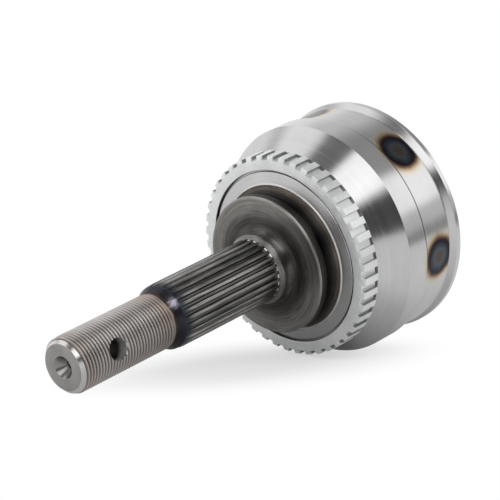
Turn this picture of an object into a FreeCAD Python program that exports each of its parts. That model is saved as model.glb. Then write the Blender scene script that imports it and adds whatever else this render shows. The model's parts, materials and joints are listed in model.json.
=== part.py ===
import FreeCAD, Part
import Sketcher
import math
import os
from types import SimpleNamespace

# Outboard constant velocity joint of the fixed ball kind, in millimetres.
# The origin is the joint centre, where both shafts' axes meet. +X runs along the axle out of
# the bell's mouth, towards the half shaft, so the splined stem points along -X. +Z is up.
# The bell and its stem are one forging. The balls run in six meridian grooves whose centres lie
# track_offset to either side of the joint centre, which keeps them in the bisecting plane.

SIZES = {
    # The balls and the running geometry
    "ball_count": (6, "balls, grooves and cage windows"),
    "ball_radius": (8.73, "11/16 inch steel ball"),
    "ball_circle_radius": (31.3, "joint centre to ball centre"),
    "track_offset": (3.5, "joint centre to the centre of a groove's arc"),
    "outer_track_play": (0.05, "groove radius over ball radius in the bell"),
    "inner_track_play": (0.15, "groove radius over ball radius in the inner race"),
    "sphere_play": (0.1, "between bell and cage, and between cage and inner race"),
    "bore_sphere_radius": (35.2, "spherical bore of the bell"),
    "bore_floor_depth": (28.6, "joint centre to the flat floor of the bore"),
    "track_deep_angle": (46.0, "end of a groove on the stem side, about its own centre"),
    "track_mouth_angle": (60.0, "run-out of a groove past the mouth, about its own centre"),
    # The cage
    "cage_thickness": (6.2, "between its two spheres"),
    "cage_half_width": (16.0, "joint centre to an end face"),
    "window_play": (0.35, "ball to window, on each side along the axle"),
    "window_length": (21.8, "window along the circumference"),
    "window_corner": (4.0, "corner radius of a window"),
    # The inner race and its snap ring
    "race_half_width": (12.0, "joint centre to an end face"),
    "race_tooth_count": (26, "grooves of the half shaft spline"),
    "race_minor_radius": (11.6, "tips of the internal spline"),
    "race_major_radius": (12.6, "roots of the internal spline"),
    "race_groove_top": (1.75, "width of a spline groove at the tips"),
    "race_groove_root": (1.0, "width of a spline groove at its root"),
    "pilot_radius": (13.1, "plain lead-in on the mouth side"),
    "pilot_length": (2.5, "length of the plain lead-in"),
    "race_chamfer": (0.8, "chamfer at the stem end of the bore"),
    "clip_seat_radius": (13.8, "bottom of the snap ring's seat"),
    "clip_seat_centre": (7.6, "joint centre to the middle of the seat, stem side"),
    "clip_seat_width": (2.2, "width of the seat"),
    "clip_width": (2.0, "snap ring along the axle"),
    "clip_depth": (2.5, "snap ring from outside to inside"),
    "clip_play": (0.1, "snap ring to the bottom of its seat"),
    "clip_gap_angle": (34.0, "open part of the snap ring"),
    # The bell outside, from the mouth towards the stem
    "mouth_depth": (20.4, "joint centre to the mouth face"),
    "mouth_cone_depth": (5.5, "depth of the mouth chamfer that clears the swung shaft"),
    "mouth_cone_radius": (37.4, "the chamfer's radius at the mouth face"),
    "lip_radius": (47.05, "lip round the mouth"),
    "lip_width": (2.4, "cylinder of the lip"),
    "lip_edge": (0.4, "chamfer of the lip"),
    "lip_ramp_length": (1.8, "slope from the boot groove up to the lip"),
    "boot_groove_radius": (44.8, "bottom of the boot bead's groove"),
    "boot_groove_width": (0.9, "flat bottom of the groove"),
    "boot_groove_slope": (0.8, "slope from the boot seat down to the groove"),
    "boot_seat_radius": (45.9, "band that the boot's mouth grips"),
    "boot_seat_length": (14.8, "length of that band"),
    "band_step_length": (0.3, "small slope between the two bands"),
    "band_radius": (46.75, "largest turned band of the bell"),
    "band_length": (10.3, "length of that band"),
    "shoulder_radius": (39.0, "small end of the bell's cone"),
    "shoulder_depth": (23.3, "joint centre to the tone ring's shoulder"),
    # The tone ring and its seat
    "ring_seat_radius": (35.2, "press seat, which is also the ring's bore"),
    "ring_width": (8.35, "tone ring along the axle"),
    "ring_tooth_count": (44, "teeth of the tone ring"),
    "ring_tip_radius": (40.85, "tooth tips"),
    "ring_floor_radius": (38.9, "slot floors"),
    "ring_slot_width": (2.9, "width of a slot"),
    "ring_corner": (2.3, "rounding of the ring's front corner"),
    "ring_bore_edge": (0.35, "chamfer at the front of the ring's bore"),
    "ring_phase": (1.7, "angle of the first slot, from +Y towards +Z"),
    "seat_length": (6.7, "length of the press seat"),
    # The hub, the neck and the flange
    "hub_outer_radius": (34.6, "turned hub in front of the seat"),
    "hub_inner_radius": (29.5, "inner edge of the hub's face"),
    "hub_face_depth": (31.9, "joint centre to the inner edge of the hub's face"),
    "hub_rake": (0.35, "how far the face leans back at its outer edge"),
    "hub_edge": (0.6, "rounding of the face's inner edge"),
    "flank_length": (3.1, "slope from the hub's face down to the neck"),
    "neck_length": (3.0, "plain neck behind the flange"),
    "neck_radius": (24.5, "neck behind the flange"),
    "neck_fillet": (1.2, "fillets at both ends of the neck"),
    "flange_radius": (27.85, "rim of the bearing flange"),
    "flange_thickness": (4.0, "flange along the axle"),
    "flange_front_edge": (0.9, "rounding of the rim in front"),
    "flange_back_edge": (0.5, "rounding of the rim behind"),
    "flange_fillet": (5.6, "concave fillet from the collar up to the flange"),
    # The stem
    "collar_radius": (14.2, "plain collar at the root of the spline"),
    "collar_length": (8.2, "collar, with the fillet"),
    "collar_edge": (0.4, "chamfer of the collar"),
    "spline_tooth_count": (27, "teeth of the stem"),
    "spline_radius": (12.88, "tooth tips of the stem spline"),
    "spline_root_radius": (11.9, "roots of the stem spline"),
    "spline_length": (50.4, "full depth of the spline"),
    "spline_lead_length": (2.9, "cone at the start of the spline"),
    "spline_groove_top": (1.75, "width of a groove at the tips"),
    "spline_groove_root": (0.95, "width of a groove at its root"),
    "spline_phase": (11.2, "angle of the first groove, from +Y towards +Z"),
    "relief_radius": (10.6, "relief between thread and spline"),
    "relief_length": (0.6, "length of the relief"),
    "thread_radius": (11.0, "crests of the M22 thread, left plain here"),
    "thread_length": (47.8, "threaded end, with its chamfer"),
    "tip_chamfer_length": (2.1, "chamfer of the threaded end along the axle"),
    "tip_radius": (9.1, "flat of the threaded end"),
    "centre_mouth_radius": (4.4, "mouth of the lathe centre"),
    "centre_cone_depth": (3.9, "depth of the lathe centre's cone"),
    "centre_pilot_radius": (2.0, "pilot of the lathe centre"),
    "centre_pilot_depth": (3.5, "pilot past the cone"),
    "centre_point_depth": (1.2, "drill point past the pilot"),
    "cotter_radius": (4.2, "cross hole for the cotter pin"),
    "cotter_distance": (18.6, "end of the stem to the cross hole"),
    "cotter_angle": (70.5, "turn of the cross hole about the axle, from upright"),
}


class Size(float):
    """A number that keeps the spreadsheet expression it was worked out from."""

    def __new__(cls, number, text):
        size = super().__new__(cls, number)
        size.text = text
        return size

    def __add__(self, other):
        return Size(float(self) + float(other), f"({self.text} + {text_of(other)})")

    def __sub__(self, other):
        return Size(float(self) - float(other), f"({self.text} - {text_of(other)})")

    def __mul__(self, other):
        return Size(float(self) * float(other), f"({self.text} * {text_of(other)})")

    def __truediv__(self, other):
        return Size(float(self) / float(other), f"({self.text} / {text_of(other)})")

    def __neg__(self):
        return Size(-float(self), f"(-{self.text})")

    def root(self):
        return Size(math.sqrt(self), f"sqrt({self.text})")


def text_of(value):
    return value.text if isinstance(value, Size) else repr(value)


def make_sheet(doc):
    """Write every driving size into the spreadsheet, and return them by name."""
    sheet = doc.addObject("Spreadsheet::Sheet", "Sizes")
    sheet.set("A1", "Size")
    sheet.set("B1", "Value")
    sheet.set("C1", "What it is")
    sizes = {}
    for row, (alias, (value, meaning)) in enumerate(SIZES.items(), start=2):
        sheet.set(f"A{row}", alias)
        sheet.set(f"B{row}", str(value))
        sheet.set(f"C{row}", meaning)
        sheet.setAlias(f"B{row}", alias)
        sizes[alias] = Size(value, f"Sizes.{alias}")
    doc.recompute()
    return SimpleNamespace(**sizes)


def origin_feature(body, role):
    """One of the body's own origin planes or axes."""
    return next(part for part in body.Origin.OriginFeatures if part.Role == role)


def new_sketch(body, name, plane, at=None, turn=None, turn_axis=(0, 0, 1)):
    """A sketch on one of the body's origin planes, moved along its normal or turned."""
    sketch = body.newObject("Sketcher::SketchObject", name)
    sketch.AttachmentSupport = [(origin_feature(body, plane), "")]
    sketch.MapMode = "FlatFace"
    start = FreeCAD.Rotation(FreeCAD.Vector(*turn_axis), float(turn or 0))
    height = FreeCAD.Vector(0, 0, float(at or 0))
    sketch.AttachmentOffset = FreeCAD.Placement(height, start)
    if at is not None:
        sketch.setExpression("AttachmentOffset.Base.z", at.text)
    if turn is not None:
        sketch.setExpression("AttachmentOffset.Rotation.Angle", turn.text)
    return sketch


def fix(sketch, kind, geometry, value):
    """Add one dimension and bind it to the sheet."""
    number = sketch.addConstraint(Sketcher.Constraint(kind, *geometry, float(value)))
    sketch.setExpression(f"Constraints[{number}]", text_of(value))


def fix_point(sketch, edge, end, along=None, out=None):
    """Fix a point's distances from the sketch's origin."""
    if along is not None:
        fix(sketch, "DistanceX", (-1, 1, edge, end), along)
    if out is not None:
        fix(sketch, "DistanceY", (-1, 1, edge, end), out)


def half_section(body, name, corners):
    """Closed outline above the axle, in the XY plane.

    A corner is (along, out). Where the third item is a radius, the edge that leaves the corner
    is an arc about the joint centre, and the corners at its two ends are fixed along the axle
    only, because the arc gives their distance from it.
    """
    sketch = new_sketch(body, name, "XY_Plane")
    count = len(corners)
    bows = [corner[2] if len(corner) > 2 else None for corner in corners]
    on_arc = [bows[i] or bows[i - 1] for i in range(count)]
    points = []
    for corner, radius in zip(corners, on_arc):
        out = math.sqrt(radius**2 - corner[0] ** 2) if radius else corner[1]
        points.append(FreeCAD.Vector(float(corner[0]), float(out), 0))
    ends = []
    for i in range(count):
        here, there = points[i], points[(i + 1) % count]
        if bows[i] is None:
            sketch.addGeometry(Part.LineSegment(here, there))
            ends.append((1, 2))
            continue
        circle = Part.Circle(FreeCAD.Vector(), FreeCAD.Vector(0, 0, 1), float(bows[i]))
        angles = [math.atan2(point.y, point.x) for point in (here, there)]
        sketch.addGeometry(Part.ArcOfCircle(circle, min(angles), max(angles)))
        ends.append((1, 2) if angles[0] < angles[1] else (2, 1))
        sketch.addConstraint(Sketcher.Constraint("Coincident", i, 3, -1, 1))
        fix(sketch, "Radius", (i,), bows[i])
    for i in range(count):
        after = (i + 1) % count
        sketch.addConstraint(Sketcher.Constraint("Coincident", i, ends[i][1], after, ends[after][0]))
        out = None if on_arc[i] else corners[i][1]
        fix_point(sketch, i, ends[i][0], corners[i][0], out)
    return sketch


def circle_sketch(body, name, plane, centre, radius, **place):
    sketch = new_sketch(body, name, plane, **place)
    middle = FreeCAD.Vector(float(centre[0]), float(centre[1]), 0)
    sketch.addGeometry(Part.Circle(middle, FreeCAD.Vector(0, 0, 1), float(radius)))
    fix_point(sketch, 0, 3, *centre)
    fix(sketch, "Radius", (0,), radius)
    return sketch


def polygon_sketch(body, name, plane, corners, **place):
    """Closed straight-sided outline, every corner fixed from the sketch's origin."""
    sketch = new_sketch(body, name, plane, **place)
    count = len(corners)
    points = [FreeCAD.Vector(float(x), float(y), 0) for x, y in corners]
    for i in range(count):
        sketch.addGeometry(Part.LineSegment(points[i], points[(i + 1) % count]))
    for i in range(count):
        sketch.addConstraint(Sketcher.Constraint("Coincident", i, 2, (i + 1) % count, 1))
        fix_point(sketch, i, 1, *corners[i])
    return sketch


def window_sketch(body, name, half_width, half_length, corner):
    """Rounded rectangle about the sketch's origin: four corner arcs joined by four lines."""
    sketch = new_sketch(body, name, "XZ_Plane")
    across, along = half_width - corner, half_length - corner
    quarters = ((1, 1), (-1, 1), (-1, -1), (1, -1))
    for turn, (right, up) in enumerate(quarters):
        middle = FreeCAD.Vector(right * float(across), up * float(along), 0)
        circle = Part.Circle(middle, FreeCAD.Vector(0, 0, 1), float(corner))
        start = turn * math.pi / 2
        sketch.addGeometry(Part.ArcOfCircle(circle, start, start + math.pi / 2))
        fix_point(sketch, turn, 3, across * right, along * up)
        fix(sketch, "Radius", (turn,), corner)
        level_end, upright_end = (1, 2) if turn % 2 == 0 else (2, 1)
        fix_point(sketch, turn, level_end, out=along * up)
        fix_point(sketch, turn, upright_end, along=across * right)
    for turn in range(4):
        after = (turn + 1) % 4
        here = sketch.Geometry[turn].EndPoint
        there = sketch.Geometry[after].StartPoint
        line = sketch.addGeometry(Part.LineSegment(here, there))
        sketch.addConstraint(Sketcher.Constraint("Coincident", turn, 2, line, 1))
        sketch.addConstraint(Sketcher.Constraint("Coincident", line, 2, after, 1))
    return sketch


def groove_outline(floor, top, floor_width, top_width):
    """Corners of a groove across the sketch's first axis, run on past its open side."""
    open_end = top + (top - floor) / 2
    half_floor = floor_width / 2
    half_open = (top_width + (top_width - floor_width) / 2) / 2
    return [
        (floor, -half_floor),
        (floor, half_floor),
        (open_end, half_open),
        (open_end, -half_open),
    ]


def revolve(body, name, sketch):
    turned = body.newObject("PartDesign::Revolution", name)
    turned.Profile = sketch
    turned.ReferenceAxis = (sketch, ["H_Axis"])
    turned.Angle = 360
    return turned


def cut_through(body, name, sketch, both_ways=False):
    """Pocket without an end, against the sketch's normal or both ways."""
    pocket = body.newObject("PartDesign::Pocket", name)
    pocket.Profile = sketch
    pocket.Type = "ThroughAll"
    pocket.Midplane = both_ways
    return pocket


def repeat_round(body, name, feature, count, angle=360):
    """Copies of a feature about the axle."""
    pattern = body.newObject("PartDesign::PolarPattern", name)
    pattern.Originals = [feature]
    pattern.Axis = (origin_feature(body, "X_Axis"), [""])
    pattern.Angle = float(angle)
    pattern.Occurrences = round(float(count))
    pattern.setExpression("Occurrences", text_of(count))
    if isinstance(angle, Size):
        pattern.setExpression("Angle", angle.text)
    body.Tip = pattern
    return pattern


def round_edges(doc, body, name, base, rings, radius):
    """Fillet the circular edges at the given (along, radius) places."""
    doc.recompute()
    found = []
    for along, out in rings:
        for number, edge in enumerate(base.Shape.Edges, start=1):
            curve = edge.Curve
            if not isinstance(curve, Part.Circle):
                continue
            near = abs(curve.Center.x - along) < 1e-4 and abs(curve.Radius - out) < 1e-4
            if near and math.hypot(curve.Center.y, curve.Center.z) < 1e-4:
                found.append(f"Edge{number}")
    fillet = body.newObject("PartDesign::Fillet", name)
    fillet.Base = (base, found)
    fillet.Radius = float(radius)
    fillet.setExpression("Radius", radius.text)
    body.Tip = fillet
    return fillet


def ball_path_radius(s):
    """Radius of the arc that a ball's centre follows in either race."""
    return (s.ball_circle_radius * s.ball_circle_radius + s.track_offset * s.track_offset).root()


def make_outer_race(doc, s):
    """Bell, flange and stem: one forging, turned all over, with ground grooves in its bore."""
    body = doc.addObject("PartDesign::Body", "outer_race")

    floor = -s.bore_floor_depth
    mouth = s.mouth_depth
    lip = mouth - s.lip_width
    ramp = lip - s.lip_ramp_length
    boot_groove = ramp - s.boot_groove_width
    boot_end = boot_groove - s.boot_groove_slope
    boot_start = boot_end - s.boot_seat_length
    band_end = boot_start - s.band_step_length
    band_start = band_end - s.band_length
    shoulder = -s.shoulder_depth
    seat_end = shoulder - s.seat_length
    hub_face = -s.hub_face_depth
    neck_start = hub_face - s.flank_length
    flange_back = neck_start - s.neck_length
    flange_face = flange_back - s.flange_thickness
    collar_face = flange_face - s.collar_length
    spline_start = collar_face - s.spline_length
    relief_end = spline_start - s.spline_lead_length
    thread_start = relief_end - s.relief_length
    tip = thread_start - s.thread_length
    cone_bottom = tip + s.centre_cone_depth
    pilot_bottom = cone_bottom + s.centre_pilot_depth
    drill_point = pilot_bottom + s.centre_point_depth

    section = half_section(
        body,
        "BellAndStemSection",
        [
            (floor, 0.0),
            (drill_point, 0.0),
            (pilot_bottom, s.centre_pilot_radius),
            (cone_bottom, s.centre_pilot_radius),
            (tip, s.centre_mouth_radius),
            (tip, s.tip_radius),
            (tip + s.tip_chamfer_length, s.thread_radius),
            (thread_start, s.thread_radius),
            (thread_start, s.relief_radius),
            (relief_end, s.relief_radius),
            (spline_start, s.spline_radius),
            (collar_face, s.spline_radius),
            (collar_face, s.collar_radius - s.collar_edge),
            (collar_face + s.collar_edge, s.collar_radius),
            (flange_face, s.collar_radius),
            (flange_face, s.flange_radius),
            (flange_back, s.flange_radius),
            (flange_back, s.neck_radius),
            (neck_start, s.neck_radius),
            (hub_face, s.hub_inner_radius),
            (hub_face + s.hub_rake, s.hub_outer_radius),
            (seat_end, s.hub_outer_radius),
            (seat_end, s.ring_seat_radius),
            (shoulder, s.ring_seat_radius),
            (shoulder, s.shoulder_radius),
            (band_start, s.band_radius),
            (band_end, s.band_radius),
            (boot_start, s.boot_seat_radius),
            (boot_end, s.boot_seat_radius),
            (boot_groove, s.boot_groove_radius),
            (ramp, s.boot_groove_radius),
            (lip, s.lip_radius),
            (mouth - s.lip_edge, s.lip_radius),
            (mouth, s.lip_radius - s.lip_edge),
            (mouth, s.mouth_cone_radius),
            (mouth - s.mouth_cone_depth, None, s.bore_sphere_radius),
            (floor, None),
        ],
    )
    turned = revolve(body, "TurnedBell", section)
    fillet = round_edges(
        doc, body, "FlangeFillet", turned, [(flange_face, s.collar_radius)], s.flange_fillet
    )
    rim = round_edges(
        doc, body, "RimFront", fillet, [(flange_face, s.flange_radius)], s.flange_front_edge
    )
    rim = round_edges(
        doc, body, "RimBack", rim, [(flange_back, s.flange_radius)], s.flange_back_edge
    )
    neck_rings = [(flange_back, s.neck_radius), (neck_start, s.neck_radius)]
    neck = round_edges(doc, body, "NeckFillets", rim, neck_rings, s.neck_fillet)
    round_edges(doc, body, "HubEdge", neck, [(hub_face, s.hub_inner_radius)], s.hub_edge)

    track = circle_sketch(
        body,
        "TrackSection",
        "YZ_Plane",
        (ball_path_radius(s), Size(0, "0")),
        s.ball_radius + s.outer_track_play,
        at=s.track_offset,
    )
    groove = body.newObject("PartDesign::Groove", "BallTrack")
    groove.Profile = track
    groove.ReferenceAxis = (track, ["V_Axis"])
    groove.Type = "TwoAngles"
    groove.setExpression("Angle", s.track_deep_angle.text)
    groove.setExpression("Angle2", s.track_mouth_angle.text)
    repeat_round(body, "BallTracks", groove, s.ball_count)

    tooth = polygon_sketch(
        body,
        "SplineGroove",
        "YZ_Plane",
        groove_outline(
            s.spline_root_radius, s.spline_radius, s.spline_groove_root, s.spline_groove_top
        ),
        at=collar_face,
        turn=s.spline_phase,
    )
    spline = cut_through(body, "SplineCut", tooth)
    repeat_round(body, "StemSpline", spline, s.spline_tooth_count)

    cross = circle_sketch(
        body,
        "CotterCircle",
        "XY_Plane",
        (tip + s.cotter_distance, Size(0, "0")),
        s.cotter_radius,
        turn=s.cotter_angle,
        turn_axis=(1, 0, 0),
    )
    cut_through(body, "CotterHole", cross, both_ways=True)
    return body


def make_tone_ring(doc, s):
    """Toothed ring for the wheel speed sensor, pressed on against the bell's shoulder."""
    body = doc.addObject("PartDesign::Body", "tone_ring")
    back = -s.shoulder_depth
    front = back - s.ring_width
    section = half_section(
        body,
        "RingSection",
        [
            (back, s.ring_seat_radius),
            (back, s.ring_tip_radius),
            (front, s.ring_tip_radius),
            (front, s.ring_seat_radius + s.ring_bore_edge),
            (front + s.ring_bore_edge, s.ring_seat_radius),
        ],
    )
    turned = revolve(body, "TurnedRing", section)
    corner = [(front, s.ring_tip_radius)]
    round_edges(doc, body, "RingCorner", turned, corner, s.ring_corner)
    slot = polygon_sketch(
        body,
        "SlotSection",
        "YZ_Plane",
        groove_outline(
            s.ring_floor_radius, s.ring_tip_radius, s.ring_slot_width, s.ring_slot_width
        ),
        at=back,
        turn=s.ring_phase,
    )
    cut = cut_through(body, "SlotCut", slot)
    repeat_round(body, "ToneTeeth", cut, s.ring_tooth_count)
    return body


def make_cage(doc, s):
    """Ball cage: a spherical band with one window for each ball."""
    body = doc.addObject("PartDesign::Body", "cage")
    outside = s.bore_sphere_radius - s.sphere_play
    inside = outside - s.cage_thickness
    half = s.cage_half_width
    section = half_section(
        body,
        "CageSection",
        [(half, None, outside), (-half, None), (-half, None, inside), (half, None)],
    )
    revolve(body, "TurnedCage", section)
    window = window_sketch(
        body,
        "WindowOutline",
        s.ball_radius + s.window_play,
        s.window_length / 2,
        s.window_corner,
    )
    cut = cut_through(body, "WindowCut", window)
    repeat_round(body, "Windows", cut, s.ball_count)
    return body


def make_inner_race(doc, s):
    """Inner race: spherical outside, six ball grooves, and a splined bore for the half shaft."""
    body = doc.addObject("PartDesign::Body", "inner_race")
    outside = s.bore_sphere_radius - s.sphere_play * 2 - s.cage_thickness
    half = s.race_half_width
    seat_far = -s.clip_seat_centre - s.clip_seat_width / 2
    seat_near = seat_far + s.clip_seat_width
    section = half_section(
        body,
        "RaceSection",
        [
            (-half, None, outside),
            (half, None),
            (half, s.pilot_radius),
            (half - s.pilot_length, s.pilot_radius),
            (half - s.pilot_length, s.race_minor_radius),
            (seat_near, s.race_minor_radius),
            (seat_near, s.clip_seat_radius),
            (seat_far, s.clip_seat_radius),
            (seat_far, s.race_minor_radius),
            (-half + s.race_chamfer, s.race_minor_radius),
            (-half, s.race_minor_radius + s.race_chamfer),
        ],
    )
    revolve(body, "TurnedRace", section)
    track = circle_sketch(
        body,
        "TrackSection",
        "YZ_Plane",
        (ball_path_radius(s), Size(0, "0")),
        s.ball_radius + s.inner_track_play,
        at=-s.track_offset,
    )
    groove = body.newObject("PartDesign::Groove", "BallTrack")
    groove.Profile = track
    groove.ReferenceAxis = (track, ["V_Axis"])
    groove.Angle = 180
    groove.Midplane = True
    repeat_round(body, "BallTracks", groove, s.ball_count)
    tooth = polygon_sketch(
        body,
        "SplineGroove",
        "YZ_Plane",
        groove_outline(
            s.race_major_radius, s.race_minor_radius, s.race_groove_root, s.race_groove_top
        ),
        at=half,
    )
    spline = cut_through(body, "SplineCut", tooth)
    repeat_round(body, "ShaftSpline", spline, s.race_tooth_count)
    return body


def make_circlip(doc, s):
    """Open snap ring in the inner race's bore, which holds the half shaft."""
    body = doc.addObject("PartDesign::Body", "circlip")
    outside = s.clip_seat_radius - s.clip_play
    near = -s.clip_seat_centre + s.clip_width / 2
    far = near - s.clip_width
    section = polygon_sketch(
        body,
        "ClipSection",
        "XY_Plane",
        [
            (far, outside - s.clip_depth),
            (near, outside - s.clip_depth),
            (near, outside),
            (far, outside),
        ],
    )
    ring = revolve(body, "OpenRing", section)
    ring.setExpression("Angle", (Size(360, "360") - s.clip_gap_angle).text)
    return body


def make_ball(doc, s, number):
    """One ball, at its groove's place round the axle."""
    ball = doc.addObject("Part::Sphere", f"ball_{number}")
    ball.setExpression("Radius", s.ball_radius.text)
    turn = f"({number - 1} * 360 deg / {s.ball_count.text})"
    ball.setExpression("Placement.Base.y", f"{s.ball_circle_radius.text} * cos({turn})")
    ball.setExpression("Placement.Base.z", f"{s.ball_circle_radius.text} * sin({turn})")
    return ball


def check(doc, parts):
    """Stop if anything in the document failed, or a part isn't one valid solid."""
    for item in doc.Objects:
        if "Invalid" in item.State or "Error" in item.State:
            raise RuntimeError(f"{item.Name} failed: {item.State}")
    for part in parts:
        shape = part.Shape
        if shape.isNull() or not shape.isValid() or len(shape.Solids) != 1:
            raise RuntimeError(f"{part.Label} isn't one valid solid")


def check_cuts(doc):
    """Stop if a cut or a pattern took nothing away."""
    for item in doc.Objects:
        if item.TypeId in ("PartDesign::Groove", "PartDesign::Pocket", "PartDesign::PolarPattern"):
            if item.Shape.Volume > item.BaseFeature.Shape.Volume - 0.1:
                raise RuntimeError(f"{item.Label} cuts nothing")


def main():
    doc = FreeCAD.newDocument("cv_joint")
    sizes = make_sheet(doc)
    parts = [
        make_outer_race(doc, sizes),
        make_tone_ring(doc, sizes),
        make_cage(doc, sizes),
        make_inner_race(doc, sizes),
        make_circlip(doc, sizes),
    ]
    parts += [make_ball(doc, sizes, number) for number in range(1, int(sizes.ball_count) + 1)]
    doc.recompute()
    check(doc, parts)
    check_cuts(doc)
    os.makedirs("parts", exist_ok=True)
    for part in parts:
        part.Label = part.Name
        part.Shape.exportStep(f"parts/{part.Label}.step")
        print(part.Label, round(part.Shape.Volume, 1), part.Shape.BoundBox)


main()
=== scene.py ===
import json
import math

import bmesh
import bpy
from mathutils import Matrix, Vector


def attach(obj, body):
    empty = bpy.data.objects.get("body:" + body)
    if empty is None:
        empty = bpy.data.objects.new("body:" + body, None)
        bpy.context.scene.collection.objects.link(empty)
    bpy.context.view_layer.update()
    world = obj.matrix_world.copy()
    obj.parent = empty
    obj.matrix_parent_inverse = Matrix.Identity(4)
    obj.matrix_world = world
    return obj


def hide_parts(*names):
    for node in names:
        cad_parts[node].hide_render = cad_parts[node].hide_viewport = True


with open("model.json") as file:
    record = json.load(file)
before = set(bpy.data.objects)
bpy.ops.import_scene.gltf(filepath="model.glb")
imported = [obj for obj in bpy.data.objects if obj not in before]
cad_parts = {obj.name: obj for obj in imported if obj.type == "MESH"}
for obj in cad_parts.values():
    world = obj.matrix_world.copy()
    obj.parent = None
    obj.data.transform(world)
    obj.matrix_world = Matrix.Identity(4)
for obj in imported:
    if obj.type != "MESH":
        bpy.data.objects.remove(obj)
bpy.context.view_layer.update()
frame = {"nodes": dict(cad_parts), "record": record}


# Bell and bearing flange
# The cup of the forged outer race and the flange that the wheel bearing sits against, turned all
# over on a lathe, with a spherical bore and six ball tracks ground into it and hardened in spots.
MM = 0.001
AROUND = 240
ARC_STEP = math.radians(12)
BORE_STEPS = 40
SAME_PLACE = 0.001 * MM
WELD_REACH = 0.002 * MM

BALL_RADIUS = 8.73
BALL_CIRCLE = 31.3
TRACK_OFFSET = 3.5
TRACK_RADIUS = BALL_RADIUS + 0.05
TRACK_PATH = math.hypot(BALL_CIRCLE, TRACK_OFFSET)
TRACK_ANGLES = (-46, 60)
TRACK_COUNT = 6

BORE_RADIUS = 35.2
BORE_FLOOR = -28.6
MOUTH_CONE_DEEP = 14.9
MOUTH_CONE_RADIUS = 37.4
MOUTH = 20.4
LIP_RADIUS = 47.05
COLLAR_FOOT = (-48.4, 12.6)
COLLAR_EDGE = -47.0
COLLAR_RADIUS = 14.2
FLANGE_FACE = -42.0
FLANGE_BACK = -38.0
FLANGE_RADIUS = 27.85
NECK_RADIUS = 24.5
NECK_END = -35.0
HUB_FACE = -31.9
HUB_INNER = 29.5
HUB_OUTER = 34.5
HUB_FALL = 0.75
BEAD = 0.6
SEAT_START = -30.0
SHOULDER = -23.3
UNDERCUT = 1.1
UNDERCUT_RADIUS = 38.0
SHOULDER_RADIUS = 39.0
BAND_START = -10.9
BAND_RADIUS = 46.75
BAND_STEP = 0.3
BOOT_SEAT = (-0.3, 14.5)
BOOT_SEAT_RADIUS = 45.9
BOOT_GROOVE = (15.3, 16.2)
BOOT_GROOVE_RADIUS = 44.8
LIP_START = 18.0
LIP_EDGE = 0.4
CONE_SLOPE = (BAND_RADIUS - SHOULDER_RADIUS) / (BAND_START - SHOULDER)

# Each corner is its place along the axle, its distance from it and its rounding, in mm
BELL_OUTLINE = [
    (COLLAR_FOOT[0], 0, 0),
    (*COLLAR_FOOT, 0.1),
    (COLLAR_EDGE, COLLAR_RADIUS, 0.7),
    (FLANGE_FACE, COLLAR_RADIUS, 3.6),
    (FLANGE_FACE, FLANGE_RADIUS, 0.9),
    (FLANGE_BACK, FLANGE_RADIUS, 0.5),
    (FLANGE_BACK, NECK_RADIUS, 1.2),
    (NECK_END, NECK_RADIUS, 1.2),
    (HUB_FACE, HUB_INNER - BEAD, 0.15),
    (HUB_FACE - BEAD, HUB_INNER, 0.4),
    (HUB_FACE, HUB_INNER + BEAD, 0.15),
    (HUB_FACE + HUB_FALL, HUB_OUTER, 0.4),
    (SEAT_START, HUB_OUTER, 0),
    (SEAT_START, BORE_RADIUS, 0),
    (SHOULDER, BORE_RADIUS, 0),
    (SHOULDER, UNDERCUT_RADIUS, 0.1),
    (SHOULDER + UNDERCUT, UNDERCUT_RADIUS, 0.2),
    (SHOULDER + UNDERCUT, SHOULDER_RADIUS + CONE_SLOPE * UNDERCUT, 0.1),
    (BAND_START, BAND_RADIUS, 0.4),
    (BOOT_SEAT[0] - BAND_STEP, BAND_RADIUS, 0.3),
    (BOOT_SEAT[0], BOOT_SEAT_RADIUS, 0.12),
    (BOOT_SEAT[1], BOOT_SEAT_RADIUS, 0.3),
    (BOOT_GROOVE[0], BOOT_GROOVE_RADIUS, 0.2),
    (BOOT_GROOVE[1], BOOT_GROOVE_RADIUS, 0.2),
    (LIP_START, LIP_RADIUS, 0.2),
    (MOUTH - LIP_EDGE, LIP_RADIUS, 0.15),
    (MOUTH, LIP_RADIUS - LIP_EDGE, 0.15),
    (MOUTH, MOUTH_CONE_RADIUS, 0.25),
]


def rounded(corners):
    """Points along an outline whose corners are (along, out, rounding), all in mm."""
    points = []
    for number, (along, out, rounding) in enumerate(corners):
        here = Vector((along, out))
        if rounding == 0:
            points.append((along, out))
            continue
        before = (Vector(corners[number - 1][:2]) - here).normalized()
        after = (Vector(corners[(number + 1) % len(corners)][:2]) - here).normalized()
        half = before.angle(after) / 2
        centre = here + (before + after).normalized() * rounding / math.sin(half)
        reach = rounding / math.tan(half)
        first = here + before * reach - centre
        last = here + after * reach - centre
        start = math.atan2(first.y, first.x)
        sweep = (math.atan2(last.y, last.x) - start + math.pi) % math.tau - math.pi
        steps = max(2, math.ceil(abs(sweep) / ARC_STEP))
        for step in range(steps + 1):
            turn = start + sweep * step / steps
            points.append((centre.x + rounding * math.cos(turn), centre.y + rounding * math.sin(turn)))
    return points


def place(along, out, turn):
    """A point in metres from its place along the axle, its radius and its turn from +Y to +Z."""
    return Vector((along, out * math.cos(turn), out * math.sin(turn))) * MM


def spin(mesh, outline, around):
    """Turn an outline, given in mm, about the axle."""
    rings = []
    for along, out in outline:
        if out == 0:
            rings.append([mesh.verts.new(place(along, 0, 0))] * around)
        else:
            turns = [math.tau * step / around for step in range(around)]
            rings.append([mesh.verts.new(place(along, out, turn)) for turn in turns])
    for ring, after in zip(rings, rings[1:]):
        for step in range(around):
            beside = (step + 1) % around
            corners = (ring[step], ring[beside], after[beside], after[step])
            mesh.faces.new(dict.fromkeys(corners))


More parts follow.
